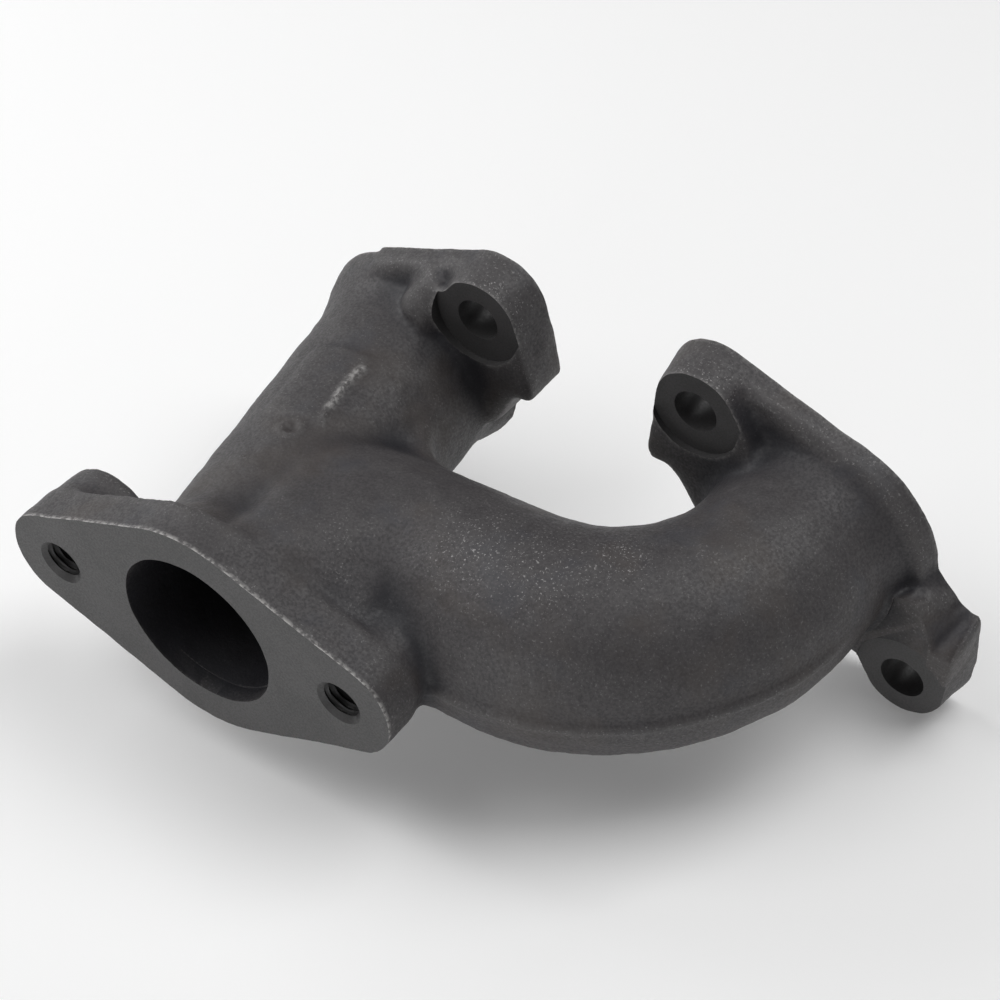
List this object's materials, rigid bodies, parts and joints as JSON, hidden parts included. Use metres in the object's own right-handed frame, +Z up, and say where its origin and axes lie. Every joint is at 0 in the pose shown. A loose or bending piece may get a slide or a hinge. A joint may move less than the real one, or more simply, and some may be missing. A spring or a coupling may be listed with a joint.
{
  "type": "exhaust manifold",
  "caption": "Cast iron exhaust manifold: a straight runner and a curved branch join behind a two-stud pipe flange, with a bolted flange at each port.",
  "frame": {"origin": "centre of the front port on the plane of the two head faces", "axes": "+X along the row of ports toward the rear port, +Y out of the ports into the cylinder head, +Z up; the mould parting plane is Z = 0"},
  "size_m": [0.1835, 0.096, 0.0776],
  "materials": {
    "cast_iron": "bare sand-cast skin, rough and dark",
    "machined_iron": "milled flange faces and bored ports, dull"
  },
  "bodies": {
    "root": {"front_port_pad": "machined_iron", "front_upper_ear": "cast_iron", "front_lower_ear": "cast_iron", "front_runner": "cast_iron", "collector": "cast_iron", "crotch_web": "cast_iron", "outlet_flange": "machined_iron", "outlet_left_lug": "cast_iron", "outlet_right_lug": "cast_iron", "branch_runner": "cast_iron", "rear_elbow": "cast_iron", "rear_neck": "cast_iron", "rear_port_pad": "machined_iron", "rear_upper_ear": "cast_iron", "rear_lower_ear": "cast_iron", "elbow_parting_rib": "cast_iron", "runner_pad": "cast_iron"}
  },
  "joints": []
}
